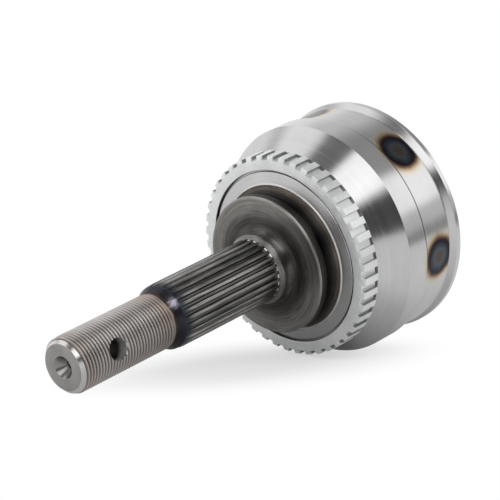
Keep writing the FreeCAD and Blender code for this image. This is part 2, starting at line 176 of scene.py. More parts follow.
def ball_path(mesh, turn):
    """Closed tube round the path that a ball's centre follows in the bell."""
    steps, sides = 44, 48
    first, last = TRACK_ANGLES
    sections = []
    for step in range(steps + 1):
        angle = math.radians(first + (last - first) * step / steps)
        section = []
        for side in range(sides):
            lean = math.tau * side / sides
            reach = TRACK_PATH + TRACK_RADIUS * math.cos(lean)
            point = place(TRACK_OFFSET + reach * math.sin(angle), reach * math.cos(angle), 0)
            point.z = TRACK_RADIUS * math.sin(lean) * MM
            section.append(mesh.verts.new(Matrix.Rotation(turn, 3, "X") @ point))
        sections.append(section)
    mesh.faces.new(sections[0])
    mesh.faces.new(sections[-1])
    for section, after in zip(sections, sections[1:]):
        for side in range(sides):
            beside = (side + 1) % sides
            mesh.faces.new((section[side], section[beside], after[beside], after[side]))


def piece_of(name, mesh):
    """A new object from a mesh under work, with its doubles merged and its faces outwards."""
    bmesh.ops.remove_doubles(mesh, verts=mesh.verts, dist=SAME_PLACE)
    bmesh.ops.recalc_face_normals(mesh, faces=mesh.faces)
    data = bpy.data.meshes.new(name)
    mesh.to_mesh(data)
    mesh.free()
    piece = bpy.data.objects.new(name, data)
    bpy.context.scene.collection.objects.link(piece)
    return piece


def make_plain(piece):
    """Give the piece the mesh that its modifiers make, and remove them."""
    result = piece.evaluated_get(bpy.context.evaluated_depsgraph_get())
    plain = bpy.data.meshes.new_from_object(result)
    piece.modifiers.clear()
    piece.data = plain


def weld(piece):
    """Merge the points of a piece that lie in one place, and the slivers between them."""
    mesh = bmesh.new()
    mesh.from_mesh(piece.data)
    bmesh.ops.remove_doubles(mesh, verts=mesh.verts, dist=WELD_REACH)
    bmesh.ops.dissolve_degenerate(mesh, edges=mesh.edges, dist=SAME_PLACE)
    mesh.to_mesh(piece.data)
    mesh.free()


def cut(piece, cutter):
    """Take the cutter's solid out of the piece."""
    boolean = piece.modifiers.new("Cut", "BOOLEAN")
    boolean.operation = "DIFFERENCE"
    boolean.solver = "EXACT"
    boolean.object = cutter
    make_plain(piece)
    weld(piece)
    bpy.data.objects.remove(cutter)


def smooth(piece, sharp_angle):
    """Shade the piece smooth between sharp edges, its larger faces keeping their own direction."""
    piece.data.shade_smooth()
    piece.data.set_sharp_from_angle(angle=math.radians(sharp_angle))
    weigh = piece.modifiers.new("Weigh", "WEIGHTED_NORMAL")
    weigh.keep_sharp = True
    make_plain(piece)


bore_turns = [math.acos(along / BORE_RADIUS) for along in (MOUTH_CONE_DEEP, BORE_FLOOR)]
bore_outline = []
for step in range(BORE_STEPS + 1):
    lean = bore_turns[0] + (bore_turns[1] - bore_turns[0]) * step / BORE_STEPS
    bore_outline.append((BORE_RADIUS * math.cos(lean), BORE_RADIUS * math.sin(lean)))
turned = bmesh.new()
spin(turned, rounded(BELL_OUTLINE) + bore_outline + [(BORE_FLOOR, 0)], AROUND)
bell = piece_of("bell", turned)
tracks = bmesh.new()
for number in range(TRACK_COUNT):
    ball_path(tracks, math.tau * number / TRACK_COUNT)
cut(bell, piece_of("track_cutter", tracks))
smooth(bell, 30)


def linear(code):
    """An sRGB hex colour as the linear colour that a shader takes."""
    channels = [int(code[start : start + 2], 16) / 255 for start in (1, 3, 5)]
    return (*[c / 12.92 if c <= 0.04045 else ((c + 0.055) / 1.055) ** 2.4 for c in channels], 1)


def node(tree, kind, inputs=(), stops=(), **settings):
    """Add a node with its settings, the values or links of its inputs, and a ramp's colours."""
    made = tree.nodes.new(kind)
    for name, value in settings.items():
        setattr(made, name, value)
    for name, value in inputs.items() if isinstance(inputs, dict) else enumerate(inputs):
        if isinstance(value, bpy.types.Node):
            value = next(output for output in value.outputs if output.enabled)
        if isinstance(value, bpy.types.NodeSocket):
            tree.links.new(value, made.inputs[name])
        else:
            made.inputs[name].default_value = value
    for number, (where, code) in enumerate(stops):
        if number >= len(made.color_ramp.elements):
            made.color_ramp.elements.new(1)
        made.color_ramp.elements[number].position = where
        made.color_ramp.elements[number].color = linear(code)
    return made


def new_material(name):
    """An empty material, and its node tree."""
    material = bpy.data.materials.new(name)
    material.use_nodes = True
    material.node_tree.nodes.clear()
    return material, material.node_tree


def finish_material(tree, inputs):
    """Add the shader with its inputs, and the material's output."""
    shader = node(tree, "ShaderNodeBsdfPrincipled", inputs)
    node(tree, "ShaderNodeOutputMaterial", {"Surface": shader})


def point_in_mm(tree):
    """The point on the surface, in mm from the joint's centre."""
    coordinates = node(tree, "ShaderNodeTexCoord").outputs["Object"]
    return node(tree, "ShaderNodeVectorMath", (coordinates, (1 / MM,) * 3), operation="MULTIPLY")


def axle_places(tree):
    """The point in mm, its place along the axle, its radius and its turn about the axle."""
    point = point_in_mm(tree)
    x, y, z = node(tree, "ShaderNodeSeparateXYZ", (point,)).outputs
    level = node(tree, "ShaderNodeVectorMath", (point, (0, 1, 1)), operation="MULTIPLY")
    out = node(tree, "ShaderNodeVectorMath", (level,), operation="LENGTH")
    turn = node(tree, "ShaderNodeMath", (z, y), operation="ARCTAN2")
    return point, x, out, turn


def tool_marks(tree, x, out, spacing):
    """Height of the fine rings that a lathe tool leaves, at a spacing in mm."""
    where = node(tree, "ShaderNodeCombineXYZ", (x, out))
    return node(
        tree,
        "ShaderNodeTexNoise",
        {"Vector": where, "Scale": 1 / spacing, "Detail": 2.0, "Roughness": 0.6},
        noise_dimensions="2D",
    )


def along_marks(tree, point):
    """Direction of the tool marks, which run round the axle."""
    return node(tree, "ShaderNodeVectorMath", ((1, 0, 0), point), operation="CROSS_PRODUCT")


# Fine turned steel: its rings, finer than 0.1 mm and drawn at 0.6 mm to show at all, spread each
# reflection along the axle. Six tempered spots show where each ball track was induction hardened.
SPOT_PLACE = 8.0
SPOT_HALF_LENGTH = 7.8
SPOT_HALF_WIDTH = 7.0
SPOT_DRIFT = math.radians(2.69)
SPOT_DRIFT_TURN = math.radians(81.4)
SPOT_REACH = 1.7
SPOT_RAGGED = 0.22
SPOT_END = 15.2
SPOT_INNER_RADIUS = 44.3
STEP_SHADE_WIDTH = 1.0

turned_steel, tree = new_material("turned_steel")
point, x, out, turn = axle_places(tree)
marks = tool_marks(tree, x, out, 0.6)
cloud = node(tree, "ShaderNodeTexNoise", {"Vector": point, "Scale": 1 / 16, "Detail": 3.0})
mottle = node(tree, "ShaderNodeMath", (marks, 0.5, cloud), operation="MULTIPLY_ADD")
bare = node(tree, "ShaderNodeValToRGB", (mottle,), [(0.45, "#c2c1c1"), (1.0, "#d1d0d0")])
# The spots drift a little from an even spacing round the bell
swing = node(
    tree,
    "ShaderNodeMath",
    (node(tree, "ShaderNodeMath", (turn, SPOT_DRIFT_TURN), operation="SUBTRACT"),),
    operation="COSINE",
)
centred = node(tree, "ShaderNodeMath", (swing, -SPOT_DRIFT, turn), operation="MULTIPLY_ADD")
half_share = math.pi / TRACK_COUNT
beside = node(tree, "ShaderNodeMath", (centred, half_share, -half_share), operation="WRAP")
across = node(
    tree, "ShaderNodeMath", (beside, BOOT_SEAT_RADIUS / SPOT_HALF_LENGTH), operation="MULTIPLY"
)
lengthwise = node(
    tree,
    "ShaderNodeMath",
    (x, 1 / SPOT_HALF_WIDTH, -SPOT_PLACE / SPOT_HALF_WIDTH),
    operation="MULTIPLY_ADD",
)
flat = node(tree, "ShaderNodeCombineXYZ", (across, lengthwise))
away = node(tree, "ShaderNodeVectorMath", (flat,), operation="LENGTH")
smoke = node(tree, "ShaderNodeTexNoise", {"Vector": point, "Scale": 1 / 5, "Detail": 3.0})
ragged = node(tree, "ShaderNodeMath", (smoke, SPOT_RAGGED, away), operation="MULTIPLY_ADD")
edge_share = node(
    tree,
    "ShaderNodeMapRange",
    {"Value": ragged, "From Min": SPOT_RAGGED / 2, "From Max": SPOT_REACH + SPOT_RAGGED / 2},
)
temper = node(
    tree,
    "ShaderNodeValToRGB",
    (edge_share,),
    [
        (0.00, "#51463f"),
        (0.14, "#544d47"),
        (0.28, "#505559"),
        (0.40, "#343c48"),
        (0.50, "#241f28"),
        (0.56, "#2e2323"),
        (0.63, "#6f5846"),
        (0.72, "#b09b80"),
        (0.85, "#cbbfa9"),
    ],
)
spread = node(
    tree,
    "ShaderNodeMapRange",
    {"Value": edge_share, "From Min": 0.66, "From Max": 1.0, "To Min": 1.0, "To Max": 0.0},
    interpolation_type="SMOOTHSTEP",
)
# None of them shows inside the bell or in the boot's groove
outside = node(tree, "ShaderNodeMath", (out, SPOT_INNER_RADIUS), operation="GREATER_THAN")
on_seat = node(tree, "ShaderNodeMath", (x, SPOT_END), operation="LESS_THAN")
seat_only = node(tree, "ShaderNodeMath", (outside, on_seat), operation="MULTIPLY")
cover = node(tree, "ShaderNodeMath", (spread, seat_only), operation="MULTIPLY")
tempered = node(tree, "ShaderNodeMix", {0: cover, 6: bare, 7: temper}, data_type="RGBA")
# Painted shade: a dark line at the foot of the step between band and seat
painted_step_shade = node(
    tree, "ShaderNodeMath", (x, BOOT_SEAT[0] + STEP_SHADE_WIDTH / 2, STEP_SHADE_WIDTH / 2), operation="COMPARE"
)
colour = node(
    tree, "ShaderNodeMix", {0: painted_step_shade, 6: tempered, 7: linear("#6a6663")}, data_type="RGBA"
)
rough = node(tree, "ShaderNodeMapRange", {"Value": marks, "To Min": 0.19, "To Max": 0.28})
finish_material(
    tree,
    {
        "Base Color": colour,
        "Metallic": 1.0,
        "Roughness": rough,
        "Anisotropic": 0.88,
        "Anisotropic Rotation": 0.25,
        "Tangent": along_marks(tree, point),
        "Normal": node(tree, "ShaderNodeBump", {"Height": marks, "Strength": 0.1, "Distance": 0.00002}),
    },
)

# Turned steel under furnace scale: dark grey with a satin shine. Painted highlights make it lighter at the
# collar's edge and at the rim, the rim partly a rubbed edge too. Painted shade makes it darker in the
# fillet's valley, and the neck behind the flange nearly black, partly scale and partly painted shade.
FRONT_SHADE_RADII = (15.5, 29.5)
NECK_SHADE_PLACES = (-40.5, -31.2)
FRONT_DEPTH = 0.8
RING_WIDTH = 0.9
RING_DRIFT = 1.6

scale_and_shade_steel, tree = new_material("furnace_scale_and_shade")
point, x, out, turn = axle_places(tree)
marks = tool_marks(tree, x, out, 0.8)
cloud = node(tree, "ShaderNodeTexNoise", {"Vector": point, "Scale": 1 / 7, "Detail": 4.0})
wander = node(tree, "ShaderNodeMath", (cloud, 3.0, out), operation="MULTIPLY_ADD")
outward = node(
    tree,
    "ShaderNodeMapRange",
    {"Value": wander, "From Min": FRONT_SHADE_RADII[0], "From Max": FRONT_SHADE_RADII[1]},
)
# Across the flange's front: a painted highlight at the collar's edge, painted shade in the fillet's valley,
# and a lighter rim, partly rubbed and partly a painted highlight
front = node(
    tree,
    "ShaderNodeValToRGB",
    (outward,),
    [
        (0.00, "#989593"),
        (0.07, "#63615f"),
        (0.22, "#4b4a49"),
        (0.42, "#646361"),
        (0.64, "#908e8b"),
        (0.90, "#969491"),
        (0.99, "#aeaba8"),
    ],
)
drift = node(tree, "ShaderNodeMath", (cloud, 1.4, x), operation="MULTIPLY_ADD")
backward = node(
    tree,
    "ShaderNodeMapRange",
    {"Value": drift, "From Min": NECK_SHADE_PLACES[0], "From Max": NECK_SHADE_PLACES[1]},
)
# Behind the flange: the neck nearly black, partly scale and partly painted shade, lighter towards the hub
behind = node(
    tree,
    "ShaderNodeValToRGB",
    (backward,),
    [
        (0.00, "#4c4a48"),
        (0.30, "#3b3938"),
        (0.40, "#28282a"),
        (0.78, "#2b2b2b"),
        (0.90, "#4f4a46"),
        (1.00, "#7d7770"),
    ],
)
is_behind = node(tree, "ShaderNodeMath", (x, FLANGE_FACE + FRONT_DEPTH), operation="GREATER_THAN")
scale_and_shade = node(tree, "ShaderNodeMix", {0: is_behind, 6: front, 7: behind}, data_type="RGBA")
# The tool's rings hold more scale in some places than in others. They are drawn 0.9 mm wide to
# show, and change over about 30 degrees of the turn, with no seam where the angle starts again
level = node(tree, "ShaderNodeVectorMath", (point, (0, 1, 1)), operation="MULTIPLY")
heading = node(tree, "ShaderNodeVectorMath", (level,), operation="NORMALIZE")
depth = node(tree, "ShaderNodeMath", (x, out), operation="ADD")
deep = node(tree, "ShaderNodeCombineXYZ", (depth,))
ring_place = node(
    tree,
    "ShaderNodeVectorMath",
    (heading, (0, RING_DRIFT, RING_DRIFT), deep),
    operation="MULTIPLY_ADD",
)
rings = node(
    tree,
    "ShaderNodeTexNoise",
    {"Vector": ring_place, "Scale": 1 / RING_WIDTH, "Detail": 4.0, "Roughness": 0.65},
)
ring_tone = node(
    tree, "ShaderNodeValToRGB", (rings,), [(0.32, "#bdbbb9"), (0.5, "#e4e3e2"), (0.68, "#ffffff")]
)
colour = node(
    tree,
    "ShaderNodeMix",
    {0: 1.0, 6: scale_and_shade, 7: ring_tone},
    data_type="RGBA",
    blend_type="MULTIPLY",
)
finish_material(
    tree,
    {
        "Base Color": colour,
        "Metallic": 1.0,
        "Roughness": node(tree, "ShaderNodeMapRange", {"Value": cloud, "To Min": 0.33, "To Max": 0.47}),
        "Anisotropic": 0.7,
        "Anisotropic Rotation": 0.25,
        "Tangent": along_marks(tree, point),
        "Normal": node(tree, "ShaderNodeBump", {"Height": marks, "Strength": 0.2, "Distance": 0.00003}),
    },
)


def clouded_steel(name, size, shades, roughness):
    """Bare steel of one finish, whose shade and gloss drift over patches of a size in mm."""
    material, tree = new_material(name)
    point = point_in_mm(tree)
    cloud = node(tree, "ShaderNodeTexNoise", {"Vector": point, "Scale": 1 / size, "Detail": 3.0})
    shade = node(tree, "ShaderNodeValToRGB", (cloud,), [(0.3, shades[0]), (0.7, shades[1])])
    least, most = roughness
    rough = node(tree, "ShaderNodeMapRange", {"Value": cloud, "To Min": least, "To Max": most})
    finish_material(tree, {"Base Color": shade, "Metallic": 1.0, "Roughness": rough})
    return material


# Burnished steel of the bead round the hub, which the tool rolled over: matte, and so light all
# the way round
burnished_steel = clouded_steel("burnished_steel", 6, ("#cfccc9", "#e4e1de"), (0.4, 0.5))

# Ground and hardened steel of the bore and its tracks: even and satin, a little darker than turned
ground_steel = clouded_steel("ground_steel", 8, ("#999795", "#acaaa8"), (0.24, 0.34))


def paint(piece, *zones):
    """Give each face the material of the first zone whose rule holds for its middle, in mm."""
    piece.data.materials.clear()
    for material, rule in zones:
        piece.data.materials.append(material)
    for face in piece.data.polygons:
        middle = face.center / MM
        out = math.hypot(middle.y, middle.z)
        face.material_index = next(
            number for number, (material, rule) in enumerate(zones) if rule(middle, out)
        )


# The faces get their materials by their place, with a hair's breadth in mm to spare
HAIR = 0.1
MOUTH_WALL_START = 8
MOUTH_WALL_RADIUS = 42


def in_bore(middle, out):
    """Whether a face lies in the bore, in a track's shallower part or in the bell's mouth."""
    bored = middle.x > BORE_FLOOR - HAIR and out < MOUTH_CONE_RADIUS - HAIR
    in_mouth = MOUTH_WALL_START < middle.x < MOUTH - HAIR and out < MOUTH_WALL_RADIUS
    return bored or in_mouth


paint(
    bell,
    (scale_and_shade_steel, lambda middle, out: middle.x < HUB_FACE + HAIR and out < HUB_INNER - BEAD),
    (burnished_steel, lambda middle, out: middle.x < HUB_FACE + HAIR and out < HUB_INNER + BEAD),
    (ground_steel, in_bore),
    (turned_steel, lambda middle, out: True),
)
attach(bell, "outer_race")
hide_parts("outer_race")


# Splined shank
# The part of the stem that drives the wheel hub: 27 teeth rolled on the forging and case
# hardened, which keep the dark grey of the furnace. Each is one sector, repeated round the axle.
SPLINE_COUNT = 27
SPLINE_TIP = 12.88
SPLINE_ROOT = 11.9
SPLINE_START = -100.6
SPLINE_FULL = -97.6
LEAD_START = -103.5
LEAD_TOP = 12.5
RUN_OUT_START = -50.0
RELIEF_RADIUS = 10.6
TOOTH_TURN = math.radians(4.55)
GLINT_SETBACK = 1.1
FLOOR_REACH = 0.04

# Half the tooth's width and its radius, in mm, from the middle of its crest to its foot
TOOTH = [
    (0.0, SPLINE_TIP),
    (0.42, SPLINE_TIP - 0.01),
    (0.56, SPLINE_TIP - 0.05),
    (0.64, SPLINE_TIP - 0.14),
    (0.72, 12.5),
    (0.82, 12.2),
    (0.90, 12.02),
    (0.99, SPLINE_ROOT + 0.03),
    (1.12, SPLINE_ROOT),
]


def repeat_tree():
    """Geometry nodes that repeat a sector round the axle."""
    tree = bpy.data.node_groups.new("repeat_round", "GeometryNodeTree")
    tree.is_modifier = True
    tree.interface.new_socket("Sector", in_out="INPUT", socket_type="NodeSocketGeometry")
    tree.interface.new_socket("Count", in_out="INPUT", socket_type="NodeSocketInt")
    tree.interface.new_socket("Finish", in_out="INPUT", socket_type="NodeSocketMaterial")
    tree.interface.new_socket("Whole", in_out="OUTPUT", socket_type="NodeSocketGeometry")
    given = tree.nodes.new("NodeGroupInput").outputs
    points = node(tree, "GeometryNodePoints", {"Count": given["Count"]})
    number = node(tree, "GeometryNodeInputIndex")
    step = node(tree, "ShaderNodeMath", (math.tau, given["Count"]), operation="DIVIDE")
    angle = node(tree, "ShaderNodeMath", (number, step), operation="MULTIPLY")
    turned = node(tree, "FunctionNodeAxisAngleToRotation", {"Axis": (1, 0, 0), "Angle": angle})
    copies = node(
        tree,
        "GeometryNodeInstanceOnPoints",
        {"Points": points, "Instance": given["Sector"], "Rotation": turned},
    )
    real = node(tree, "GeometryNodeRealizeInstances", (copies,))
    painted = node(tree, "GeometryNodeSetMaterial", {"Geometry": real, "Material": given["Finish"]})
    node(tree, "NodeGroupOutput", (painted,))
    return tree


def use_tree(piece, tree, inputs):
    """Run the tree on the piece, with its inputs set by their identifiers."""
    modifier = piece.modifiers.new(tree.name, "NODES")
    modifier.node_group = tree
    for socket in tree.interface.items_tree:
        if socket.name in inputs:
            modifier[socket.identifier] = inputs[socket.name]
    make_plain(piece)


repeat_round = repeat_tree()

# Case hardened steel: a dark grey skin with streaks along the teeth, painted lighter on their crests as a
# painted highlight, and a brown, violet and blue temper where the flame reached the lead of the spline
STREAK_LENGTH = 14
STREAK_TURNS = 11.0
SPLINE_HIGHLIGHT_RADII = (12.25, 12.85)
FLAME_PLACES = (-103.6, -94.0)
LEAD_HIGHLIGHT_PLACE = (-101.9, -7.4, 9.3)
LEAD_HIGHLIGHT_REACH = (2.4, 5.6)

case_steel, tree = new_material("case_hardened_steel")
point, x, out, turn = axle_places(tree)
slow = node(tree, "ShaderNodeMath", (x, 1 / STREAK_LENGTH), operation="MULTIPLY")
quick = node(tree, "ShaderNodeMath", (turn, STREAK_TURNS), operation="MULTIPLY")
drawn_out = node(tree, "ShaderNodeCombineXYZ", (slow, quick, out))
streaks = node(
    tree,
    "ShaderNodeTexNoise",
    {"Vector": drawn_out, "Scale": 1.0, "Detail": 5.0, "Roughness": 0.6},
)
crest = node(
    tree,
    "ShaderNodeMapRange",
    {"Value": out, "From Min": SPLINE_HIGHLIGHT_RADII[0], "From Max": SPLINE_HIGHLIGHT_RADII[1]},
)
dark = node(tree, "ShaderNodeValToRGB", (streaks,), [(0.3, "#3a3939"), (0.7, "#6a6968")])
# Painted highlight: the teeth's crests are lighter
spline_crest_highlight = node(tree, "ShaderNodeValToRGB", (streaks,), [(0.35, "#5a5958"), (0.65, "#aaa8a6")])
skin = node(tree, "ShaderNodeMix", {0: crest, 6: dark, 7: spline_crest_highlight}, data_type="RGBA")
inward = node(
    tree, "ShaderNodeMapRange", {"Value": x, "From Min": FLAME_PLACES[0], "From Max": FLAME_PLACES[1]}
)
uneven = node(tree, "ShaderNodeMath", (streaks, 0.3, inward), operation="MULTIPLY_ADD")
flame = node(
    tree,
    "ShaderNodeValToRGB",
    (uneven,),
    [(0.12, "#574a3f"), (0.20, "#3b3433"), (0.34, "#39373f"), (0.55, "#383d45"), (0.85, "#45484b")],
)
reach = node(
    tree,
    "ShaderNodeMapRange",
    {"Value": uneven, "From Min": 0.5, "From Max": 1.1, "To Min": 1.0, "To Max": 0.0},
    interpolation_type="SMOOTHSTEP",
)
tempered = node(tree, "ShaderNodeMix", {0: reach, 6: skin, 7: flame}, data_type="RGBA")
# A pale lilac patch on the lead, a painted highlight
from_lead_highlight = node(tree, "ShaderNodeVectorMath", (point, LEAD_HIGHLIGHT_PLACE), operation="DISTANCE")
torn = node(tree, "ShaderNodeMath", (streaks, 5.0, from_lead_highlight), operation="MULTIPLY_ADD")
lead_highlight = node(
    tree,
    "ShaderNodeMapRange",
    {
        "Value": torn,
        "From Min": LEAD_HIGHLIGHT_REACH[0],
        "From Max": LEAD_HIGHLIGHT_REACH[1],
        "To Min": 0.75,
        "To Max": 0.0,
    },
    interpolation_type="SMOOTHSTEP",
)
finish_material(
    tree,
    {
        "Base Color": node(
            tree, "ShaderNodeMix", {0: lead_highlight, 6: tempered, 7: linear("#b3adbb")}, data_type="RGBA"
        ),
        "Metallic": 1.0,
        "Roughness": node(tree, "ShaderNodeMapRange", {"Value": streaks, "To Min": 0.25, "To Max": 0.45}),
    },
)

half_pitch = math.pi / SPLINE_COUNT
half_tooth = [(math.asin(wide / out), out) for wide, out in TOOTH] + [(half_pitch, SPLINE_ROOT)]
tooth_outline = [(-turn, out) for turn, out in reversed(half_tooth[1:])] + half_tooth
lead_slope = (LEAD_TOP - RELIEF_RADIUS) / (SPLINE_START - LEAD_START)
crown_slope = (SPLINE_TIP - LEAD_TOP) / (SPLINE_FULL - SPLINE_START)
fade_slope = (LEAD_TOP - SPLINE_ROOT) / (SPLINE_FULL - SPLINE_START)
run_out_slope = (COLLAR_FOOT[1] - SPLINE_ROOT) / (COLLAR_FOOT[0] - RUN_OUT_START)


def lead_radius(along):
    """Largest radius of the teeth, which are pointed and then crowned at the spline's lead."""
    cone = RELIEF_RADIUS + (along - LEAD_START) * lead_slope
    return min(cone, LEAD_TOP + (along - SPLINE_START) * crown_slope)


def groove_floor(along):
    """Radius of the grooves' floor, which rises at the lead and where the rolls ran out."""
    lead = LEAD_TOP - (along - SPLINE_START) * fade_slope
    run_out = SPLINE_ROOT + (along - RUN_OUT_START) * run_out_slope
    return max(SPLINE_ROOT, lead, run_out)


stations = [LEAD_START + (SPLINE_START - LEAD_START) * step / 4 for step in range(5)]
stations += [SPLINE_START + (SPLINE_FULL - SPLINE_START) * step / 6 for step in range(1, 7)]
stations += [SPLINE_FULL + (RUN_OUT_START - SPLINE_FULL) * step / 6 for step in range(1, 7)]
stations += [RUN_OUT_START + (COLLAR_FOOT[0] - RUN_OUT_START) * step / 4 for step in range(1, 5)]
sector = bmesh.new()
rows = [[sector.verts.new(place(LEAD_START, 0, 0))] * len(tooth_outline)]
for along in stations:
    lead, bottom = lead_radius(along), groove_floor(along)
    outline = [(min(max(out, bottom), lead), TOOTH_TURN + turn) for turn, out in tooth_outline]
    rows.append([sector.verts.new(place(along, out, turn)) for out, turn in outline])
rows.append([sector.verts.new(place(COLLAR_FOOT[0], 0, 0))] * len(tooth_outline))
for row, after in zip(rows, rows[1:]):
    for number in range(len(row) - 1):
        corners = (row[number], row[number + 1], after[number + 1], after[number])
        sector.faces.new(dict.fromkeys(corners))
shank = piece_of("splined_shank", sector)
use_tree(shank, repeat_round, {"Count": SPLINE_COUNT, "Finish": case_steel})
weld(shank)
smooth(shank, 25)


def in_run_out_glint(middle, out):
    """Whether a face lies on the floor of a groove near the top of its rise to the collar, where a painted
    glint goes.
    """
    on_floor = abs(out - groove_floor(middle.x)) < FLOOR_REACH
    return middle.x > RUN_OUT_START + GLINT_SETBACK and on_floor


# The top of each groove's run-out is painted with bright turned steel, a painted glint
paint(shank, (turned_steel, in_run_out_glint), (case_steel, lambda middle, out: True))
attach(shank, "outer_race")
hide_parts("outer_race")


# Threaded end
# The end of the stem that takes the axle nut: an M22 x 1.5 thread rolled on the turned stem, with
# the lathe's centre hole in its end face and a drilled cross hole for the cotter pin.
TIP = -151.9
TIP_RADIUS = 9.1
CHAMFER_LENGTH = 2.1
THREAD_CREST = 11.0
THREAD_ROOT = 10.08
PITCH = 1.5
ROWS_PER_PITCH = 8
THREAD_END = -104.1
THREAD_AROUND = 120
CHAMFER_SLOPE = (THREAD_CREST - TIP_RADIUS) / CHAMFER_LENGTH
THREAD_START = TIP + (THREAD_ROOT - TIP_RADIUS) / CHAMFER_SLOPE
COTTER_PLACE = -133.3
COTTER_RADIUS = 4.2
COTTER_CHAMFER = 1.0
COTTER_TURN = math.radians(160.5)
CREST_SHARE = 0.07
ROOT_SHARE = 0.43


def thread_tree():
    """Geometry nodes that bend a grid, one unit round by one for each pitch, into a thread."""
    tree = bpy.data.node_groups.new("screw_thread", "GeometryNodeTree")
    tree.is_modifier = True
    tree.interface.new_socket("Grid", in_out="INPUT", socket_type="NodeSocketGeometry")
    for name in ("Start", "End", "Pitch", "Crest", "Root", "Relief", "Tip", "Tip radius", "Slope"):
        tree.interface.new_socket(name, in_out="INPUT", socket_type="NodeSocketFloat")
    tree.interface.new_socket("Finish", in_out="INPUT", socket_type="NodeSocketMaterial")
    tree.interface.new_socket("Thread", in_out="OUTPUT", socket_type="NodeSocketGeometry")
    given = tree.nodes.new("NodeGroupInput").outputs
    where = node(tree, "GeometryNodeInputPosition")
    share, pitches = node(tree, "ShaderNodeSeparateXYZ", (where,)).outputs[:2]
    helix = node(tree, "ShaderNodeMath", (pitches, share), operation="ADD")
    free = node(tree, "ShaderNodeMath", (helix, given["Pitch"], given["Start"]), operation="MULTIPLY_ADD")
    late = node(tree, "ShaderNodeMath", (free, given["Start"]), operation="MAXIMUM")
    along = node(tree, "ShaderNodeMath", (late, given["End"]), operation="MINIMUM")
    part = node(tree, "ShaderNodeMath", (pitches,), operation="FRACT")
    ridge = node(tree, "ShaderNodeMath", (part, 0.5), operation="SUBTRACT")
    from_crest = node(tree, "ShaderNodeMath", (ridge,), operation="ABSOLUTE")
    thread = node(
        tree,
        "ShaderNodeMapRange",
        {
            "Value": from_crest,
            "From Min": CREST_SHARE,
            "From Max": ROOT_SHARE,
            "To Min": given["Crest"],
            "To Max": given["Root"],
        },
    )
    past_tip = node(tree, "ShaderNodeMath", (along, given["Tip"]), operation="SUBTRACT")
    chamfer = node(
        tree, "ShaderNodeMath", (past_tip, given["Slope"], given["Tip radius"]), operation="MULTIPLY_ADD"
    )
    kept = node(tree, "ShaderNodeMath", (thread, chamfer), operation="MINIMUM")
    left = node(tree, "ShaderNodeMath", (given["End"], along), operation="SUBTRACT")
    fade = node(
        tree,
        "ShaderNodeMapRange",
        {"Value": left, "From Max": given["Pitch"], "To Min": given["Relief"], "To Max": kept},
    )
    angle = node(tree, "ShaderNodeMath", (share, math.tau), operation="MULTIPLY")
    cosine = node(tree, "ShaderNodeMath", (angle,), operation="COSINE")
    sine = node(tree, "ShaderNodeMath", (angle,), operation="SINE")
    level = node(tree, "ShaderNodeMath", (fade, cosine), operation="MULTIPLY")
    height = node(tree, "ShaderNodeMath", (fade, sine), operation="MULTIPLY")
    placed = node(tree, "ShaderNodeCombineXYZ", (along, level, height))
    bent = node(tree, "GeometryNodeSetPosition", {"Geometry": given["Grid"], "Position": placed})
    real = node(tree, "GeometryNodeRealizeInstances", (bent,))
    painted = node(tree, "GeometryNodeSetMaterial", {"Geometry": real, "Material": given["Finish"]})
    node(tree, "NodeGroupOutput", (painted,))
    return tree


# Rolled thread: crests painted bright as a painted highlight and flanks painted darker as painted shade in
# the grooves, with a straw temper at both ends
THREAD_HIGHLIGHT_RADII = (10.15, 10.9)
STRAW_BY_SPLINE = (-118.0, -104.5)
STRAW_BY_TIP = (-149.0, -141.0)

thread_steel, tree = new_material("rolled_thread_steel")
point, x, out, turn = axle_places(tree)
cloud = node(tree, "ShaderNodeTexNoise", {"Vector": point, "Scale": 1 / 9, "Detail": 3.0})
crest = node(
    tree, "ShaderNodeMapRange", {"Value": out, "From Min": THREAD_HIGHLIGHT_RADII[0], "From Max": THREAD_HIGHLIGHT_RADII[1]}
)
# Painted shade on the flanks and a painted highlight on the crests
flank = node(tree, "ShaderNodeValToRGB", (cloud,), [(0.3, "#5e5956"), (0.7, "#6f6a67")])
bright = node(tree, "ShaderNodeValToRGB", (cloud,), [(0.3, "#bcb7b4"), (0.7, "#cfcac8")])
painted_crest_and_flank = node(tree, "ShaderNodeMix", {0: crest, 6: flank, 7: bright}, data_type="RGBA")
heats = []
for (start, end), at_start, at_end in ((STRAW_BY_SPLINE, 0.0, 0.8), (STRAW_BY_TIP, 0.5, 0.0)):
    heat = node(
        tree,
        "ShaderNodeMapRange",
        {"Value": x, "From Min": start, "From Max": end, "To Min": at_start, "To Max": at_end},
        interpolation_type="SMOOTHSTEP",
    )
    heats.append(heat)
heated = node(tree, "ShaderNodeMath", heats, operation="MAXIMUM")
patchy = node(tree, "ShaderNodeMath", (heated, cloud), operation="MULTIPLY")
straw = node(tree, "ShaderNodeMix", {0: patchy, 6: painted_crest_and_flank, 7: linear("#8f7460")}, data_type="RGBA")
finish_material(
    tree,
    {
        "Base Color": straw,
        "Metallic": 1.0,
        "Roughness": node(tree, "ShaderNodeMapRange", {"Value": cloud, "To Min": 0.36, "To Max": 0.46}),
    },
)

